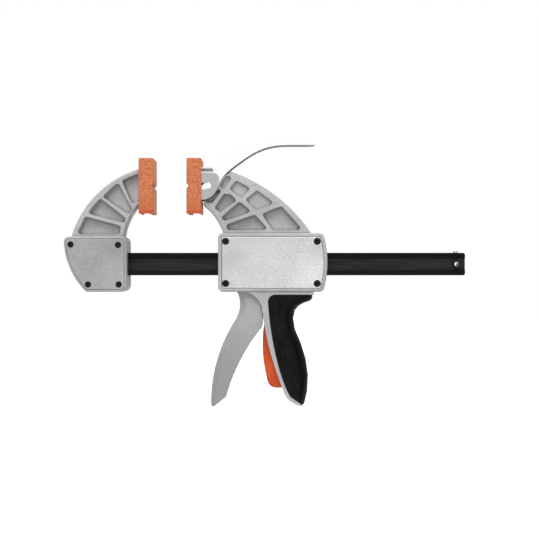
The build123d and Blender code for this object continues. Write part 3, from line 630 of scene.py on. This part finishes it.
class Dressing:
    """What the operators share: the sizes and colours of the scene."""
    bl_options = {"REGISTER", "UNDO"}

    @property
    def sizes(self):
        return bpy.context.scene.clamp_sizes

    def colour(self, name):
        return tuple(getattr(bpy.context.scene.clamp_colours, name))


class CLAMP_OT_bar(Dressing, Operator):
    """Finish the bar, its stop pin and rivet, and the dowels that hold it"""
    bl_idname = "clamp.bar"
    bl_label = "Bar"

    def execute(self, context):
        sizes = self.sizes
        low, high = (corner[Z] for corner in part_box("bar"))
        black = black_steel("blackened_bar", self.colour("bar_black"), rough=0.42,
                            rolled=(low + BAR_THICK_EDGE, high - BAR_THICK_EDGE))
        refined("bar", "rolled_bar", black, edge=sizes.bar_edge, segments=3)
        refined("stop_pin", "rolled_stop_pin", black, edge=sizes.small_edge)
        bright = brushed_metal("bright_steel", self.colour("pin_steel"), rough=0.3)
        refined("stop_rivet", "bar_rivet", bright, edge=sizes.small_edge)
        dressed("bar_dowels", bright)
        return {"FINISHED"}


class CLAMP_OT_fixed_jaw(Dressing, Operator):
    """Finish the fixed jaw's casting and its cover"""
    bl_idname = "clamp.fixed_jaw"
    bl_label = "Fixed jaw"

    def execute(self, context):
        paint = painted_casting("casting_paint", self.colour("cast_alloy"))
        refined("fixed_jaw", "fixed_jaw_casting", paint,
                edge=self.sizes.casting_edge, rimmed=True)
        cover = painted_casting("cover_paint", self.colour("cover_paint"), depth=0.05 * MM)
        refined("fixed_cover", "fixed_jaw_cover", cover,
                edge=self.sizes.cover_edge, rimmed=True)
        return {"FINISHED"}


class CLAMP_OT_moving_jaw(Dressing, Operator):
    """Finish the moving jaw's casting, its cover and the bar guides"""
    bl_idname = "clamp.moving_jaw"
    bl_label = "Moving jaw"

    def execute(self, context):
        paint = painted_casting("casting_paint", self.colour("cast_alloy"))
        refined("moving_jaw", "moving_jaw_casting", paint,
                edge=self.sizes.handle_edge, rimmed=True)
        cover = bare_cover("bare_cover", self.colour("brushed_cover"))
        refined("moving_cover", "moving_jaw_cover", cover,
                edge=self.sizes.cover_edge, rimmed=True)
        plastic = moulded_plastic("guide_moulding", self.colour("guide_plastic"), rough=0.5)
        dressed("bar_guides", plastic)
        return {"FINISHED"}


def islands(form):
    """The separate shells of a mesh, each as a list of its vertices."""
    left = set(form.verts)
    while left:
        shell, front = [], [left.pop()]
        while front:
            vert = front.pop()
            shell.append(vert)
            for edge in vert.link_edges:
                other = edge.other_vert(vert)
                if other in left:
                    left.remove(other)
                    front.append(other)
        yield shell


def open_ring(form, middle, y, radius):
    """The open edges at one depth of a screw, around its middle and within a radius."""
    centre = Vector((middle.x, y, middle.z))
    return [edge for edge in form.edges if edge.is_boundary and all(
        abs(v.co.y - y) < RING_LEVEL and (v.co - centre).length < radius + RING_MARGIN
        for v in edge.verts)]


def socket_screw(form, middle, head, shank, front, back, socket):
    """A countersunk screw along Y, turned from its profile, with a hexagonal socket in its head."""
    profile = [
        (head - SCREW_RIM_WIDTH, front),
        (head, front + SCREW_RIM_DEPTH),
        (shank, front + COUNTERSINK_DEPTH),
        (shank, back),
    ]
    line = [form.verts.new((middle.x + radius, y, middle.z)) for radius, y in profile]
    runs = [form.edges.new(pair) for pair in zip(line, line[1:])]
    bmesh.ops.spin(form, geom=line + runs, cent=(middle.x, 0.0, middle.z), axis=(0, 1, 0),
                   angle=radians(360), steps=SCREW_STEPS, use_merge=True)
    rim = open_ring(form, middle, front, head)
    bmesh.ops.edgeloop_fill(form, edges=open_ring(form, middle, back, shank))
    turn = Matrix.Translation((middle.x, front, middle.z)) @ Matrix.Rotation(radians(90), 4, "X")
    hexagon = bmesh.ops.create_circle(form, segments=6, radius=socket, matrix=turn)["verts"]
    mouth = list({edge for vert in hexagon for edge in vert.link_edges})
    bmesh.ops.triangle_fill(form, use_beauty=True, edges=rim + mouth)
    walls = bmesh.ops.extrude_edge_only(form, edges=mouth)["geom"]
    floor = [item for item in walls if isinstance(item, bmesh.types.BMVert)]
    bmesh.ops.translate(form, verts=floor, vec=(0, SOCKET_DEPTH, 0))
    bmesh.ops.edgeloop_fill(form, edges=[
        item for item in walls
        if isinstance(item, bmesh.types.BMEdge) and all(v in floor for v in item.verts)])


class CLAMP_OT_cover_screws(Dressing, Operator):
    """Build the eight socket screws in the covers"""
    bl_idname = "clamp.cover_screws"
    bl_label = "Cover screws"

    def execute(self, context):
        black = black_steel("blackened_screws", self.colour("screw_black"), rough=0.45)
        for jaw in ("fixed", "moving"):
            node = f"{jaw}_cover_screws"
            rough, form = bmesh.new(), bmesh.new()
            rough.from_mesh(frame["nodes"][node].data)
            bmesh.ops.remove_doubles(rough, verts=rough.verts, dist=MERGE_DISTANCE)
            for shell in islands(rough):
                front, back = min(v.co.y for v in shell), max(v.co.y for v in shell)
                middle = sum((v.co for v in shell), Vector()) / len(shell)
                reach = [((v.co - middle).xz.length, v.co.y) for v in shell]
                head = max(r for r, y in reach)
                shank = max(r for r, y in reach if back - y < SHANK_END)
                socket_screw(form, middle, head, shank, front, back, self.sizes.socket)
            rough.free()
            bmesh.ops.recalc_face_normals(form, faces=form.faces)
            obj = smooth_object(form, f"{jaw}_socket_screws", 30.0)
            stand_in(obj, node, black)
        return {"FINISHED"}


class CLAMP_OT_pads(Dressing, Operator):
    """Finish the two moulded pads"""
    bl_idname = "clamp.pads"
    bl_label = "Pads"

    def execute(self, context):
        compound = pad_compound(self.colour("pad_orange"))
        for jaw in ("fixed", "moving"):
            refined(f"{jaw}_pad", f"{jaw}_moulded_pad", compound,
                    edge=self.sizes.pad_edge)
        return {"FINISHED"}


class CLAMP_OT_pad_bracket(Dressing, Operator):
    """Finish the moving pad's bracket and the pin behind it"""
    bl_idname = "clamp.pad_bracket"
    bl_label = "Pad bracket"

    def execute(self, context):
        zinc = brushed_metal("zinc_plate", self.colour("bracket_steel"), rough=0.36, scale=1800.0)
        refined("pad_bracket", "bent_bracket", zinc, edge=self.sizes.sheet_edge)
        bright = brushed_metal("polished_pin", self.colour("lever_chrome"), rough=0.2)
        refined("lever_pin", "lever_pivot_pin", bright,
                edge=self.sizes.small_edge, segments=3)
        return {"FINISHED"}


def mark_hollow(form):
    """Marks the inside of the lever's channel, but not its outer plate or its end faces, for the
    second finish, a darker steel that paints the shade inside the channel."""
    steepest_up, end_on = 0.3, 0.85
    form.normal_update()
    inside = max(abs(vert.co.y) for vert in form.verts) - LEVER_INSIDE
    for face in form.faces:
        if (abs(face.calc_center_median().y) < inside and face.normal.z < steepest_up
                and abs(face.normal.x) < end_on):
            face.material_index = 1


class CLAMP_OT_power_lever(Dressing, Operator):
    """Finish the polished power lever"""
    bl_idname = "clamp.power_lever"
    bl_label = "Power lever"

    def execute(self, context):
        steel = self.colour("lever_chrome")
        # rim below 1 paints a grey shade line along the polished lever's edges
        chrome = brushed_metal("polished_steel", steel, rough=0.16, scale=900.0,
                               spread=0.01, rim=0.72)
        # a darker steel for the channel's inside, as painted shade there
        shaded_metal = brushed_metal("unpolished_steel", shades(steel, 0.4), rough=0.5, scale=900.0)
        refined("power_lever", "pressed_lever", chrome,
                edge=self.sizes.sheet_edge, shape=mark_hollow, inner=shaded_metal)
        return {"FINISHED"}


class CLAMP_OT_trigger(Dressing, Operator):
    """Finish the trigger"""
    bl_idname = "clamp.trigger"
    bl_label = "Trigger"

    def execute(self, context):
        low, high = (corner[Z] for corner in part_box("trigger"))
        # painted shade towards the trigger's lower end, and a painted highlight along its ridge
        paint = painted_casting(
            "trigger_coat", self.colour("trigger_paint"), depth=0.05 * MM, sloped=0.99,
            edge=(1.1 * MM, 0.97, 1.35), hand=(high - LOWER_SHADE_FROM, low + LOWER_SHADE_TO))
        refined("trigger", "trigger_casting", paint,
                edge=self.sizes.trigger_edge, soft=25.0)
        return {"FINISHED"}


class CLAMP_OT_release_lever(Dressing, Operator):
    """Finish the release lever"""
    bl_idname = "clamp.release_lever"
    bl_label = "Release lever"

    def execute(self, context):
        # edge below 1 paints shade along the release lever's edges and seams
        orange = moulded_plastic("release_moulding", self.colour("release_orange"), rough=0.42,
                                 edge=(0.66, 0.22, 0.25))
        refined("release_lever", "moulded_release_lever", orange,
                edge=self.sizes.release_edge)
        return {"FINISHED"}


class CLAMP_OT_rubber_grip(Dressing, Operator):
    """Finish the rubber of the handle"""
    bl_idname = "clamp.rubber_grip"
    bl_label = "Rubber grip"

    def execute(self, context):
        refined("rubber_grip", "handle_rubber", rubber(self.colour("grip_black")),
                edge=self.sizes.casting_edge, soft=50.0)
        return {"FINISHED"}


class CLAMP_OT_mechanism(Dressing, Operator):
    """Finish the plates, springs and pins inside the moving jaw"""
    bl_idname = "clamp.mechanism"
    bl_label = "Mechanism"

    def execute(self, context):
        bright = brushed_metal("bright_steel", self.colour("pin_steel"), rough=0.3)
        for node in ("trigger_pin", "release_pin", "drive_plates", "brake_plate"):
            dressed(node, bright)
        seats = {
            row["node"]: row["fixed_end_x_m"]
            for joint in frame["record"]["behaviour"]["joints"]
            for row in joint.get("deforming_nodes", ())
        }
        for node, piece, joint, travel in SPRINGS:
            coil = refined(node, piece, bright)
            free = seats[node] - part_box(node)[0][0]
            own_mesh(coil)
        return {"FINISHED"}


def floor_paper():
    """White paper that keeps the clamp's soft shadow, and glows more the further out it lies."""
    near, far, glow_near, glow_far = 0.35, 1.2, 0.66, 0.9
    dark, light = (0.54,) * 3, (0.56,) * 3

    def build(tree, shader):
        fibres = noise(tree, here(tree), 40.0)
        tree.links.new(between(tree, fibres, dark, light), shader.inputs["Base Color"])
        shader.inputs["Emission Color"].default_value = WHITE
        seen = tree.nodes.new("ShaderNodeLightPath").outputs
        out = step(tree, "ShaderNodeVectorMath", {
            0: here(tree), 1: (MIDDLE.x, 0.0, 0.0)}, operation="DISTANCE").outputs["Value"]
        looked_at = sums(tree, "MAXIMUM", seen["Is Camera Ray"], seen["Is Glossy Ray"])
        glow = sums(tree, "MULTIPLY", looked_at,
                    ranged(tree, out, near, far, glow_near, glow_far))
        tree.links.new(glow, shader.inputs["Emission Strength"])
    return finish("studio_paper", (0.55, 0.55, 0.55), rough=0.9, specular=0.1, build=build)


def studio_world():
    """White behind the clamp, a little greyer overhead in reflections, and a softer light from
    above on the surfaces."""
    world = bpy.data.worlds.new("studio_world")
    world.use_nodes = True
    tree = world.node_tree
    seen = tree.nodes.new("ShaderNodeLightPath").outputs
    background = tree.nodes["Background"]
    background.inputs["Color"].default_value = WHITE
    upwards = along(tree, tree.nodes.new("ShaderNodeTexCoord").outputs["Generated"], Z)
    diffuse = ranged(tree, upwards, -0.4, 0.8, SKY * 0.35, SKY * 1.9)
    mirrored = ranged(tree, upwards, 0.3, 0.9, 1.0, 0.72)
    clear = sums(tree, "MAXIMUM", seen["Is Camera Ray"], seen["Is Transmission Ray"])
    strength = diffuse
    for ray, light in ((seen["Is Glossy Ray"], mirrored), (clear, 1.0)):
        strength = step(tree, "ShaderNodeMix", {
            FACTOR: ray, NUMBER_A: strength, NUMBER_B: light}).outputs[NUMBER_OUT]
    tree.links.new(strength, background.inputs["Strength"])
    return world


class CLAMP_OT_stage(Dressing, Operator):
    """Build the floor, the world, the lamps and the camera"""
    bl_idname = "clamp.stage"
    bl_label = "Stage"

    def execute(self, context):
        scene = context.scene

        def added(name, data, place=(0, 0, 0), turn=(0, 0, 0)):
            obj = bpy.data.objects.new(name, data)
            obj.location = place
            obj.rotation_euler = [radians(angle) for angle in turn]
            scene.collection.objects.link(obj)
            return obj

        sheet = bpy.data.meshes.new("studio_floor")
        ground = bmesh.new()
        bmesh.ops.create_grid(ground, x_segments=1, y_segments=1, size=FLOOR_HALF)
        bmesh.ops.translate(ground, verts=ground.verts,
                            vec=(MIDDLE.x, 0.0, -self.sizes.floor_drop))
        ground.to_mesh(sheet)
        ground.free()
        floor = added("studio_floor", sheet)
        floor.data.materials.append(floor_paper())
        scene.world = studio_world()
        for name, place, turn, size, power in LAMPS:
            lamp = bpy.data.lights.new(name, "AREA")
            lamp.shape = "DISK"
            lamp.size = size
            lamp.energy = power
            added(name, lamp, place, turn)
        eye = bpy.data.cameras.new("camera")
        eye.lens = CAMERA_LENS
        eye.sensor_width = CAMERA_SENSOR
        scene.camera = added("camera", eye, CAMERA_PLACE, (90, 0, 0))
        scene.view_settings.view_transform = "Standard"
        return {"FINISHED"}


PIECES = (
    CLAMP_OT_bar,
    CLAMP_OT_fixed_jaw,
    CLAMP_OT_moving_jaw,
    CLAMP_OT_cover_screws,
    CLAMP_OT_pads,
    CLAMP_OT_pad_bracket,
    CLAMP_OT_power_lever,
    CLAMP_OT_trigger,
    CLAMP_OT_release_lever,
    CLAMP_OT_rubber_grip,
    CLAMP_OT_mechanism,
    CLAMP_OT_stage,
)


class CLAMP_PT_panel(Panel):
    """The clamp's pieces, sizes and colours"""
    bl_idname = "CLAMP_PT_panel"
    bl_label = "Bar clamp"
    bl_space_type = "VIEW_3D"
    bl_region_type = "UI"
    bl_category = "Clamp"

    def draw(self, context):
        for group in (context.scene.clamp_sizes, context.scene.clamp_colours):
            box = self.layout.box()
            for key in group.__annotations__:
                box.prop(group, key)
        for piece in PIECES:
            self.layout.operator(piece.bl_idname)


CLASSES = (ClampSizes, ClampColours, *PIECES, CLAMP_PT_panel)


def register():
    for cls in CLASSES:
        bpy.utils.register_class(cls)
    bpy.types.Scene.clamp_sizes = PointerProperty(type=ClampSizes)
    bpy.types.Scene.clamp_colours = PointerProperty(type=ClampColours)


def unregister():
    del bpy.types.Scene.clamp_colours
    del bpy.types.Scene.clamp_sizes
    for cls in reversed(CLASSES):
        bpy.utils.unregister_class(cls)


def main():
    register()
    for piece in PIECES:
        group, name = piece.bl_idname.split(".")
        getattr(getattr(bpy.ops, group), name)()


if __name__ == "__main__":
    main()
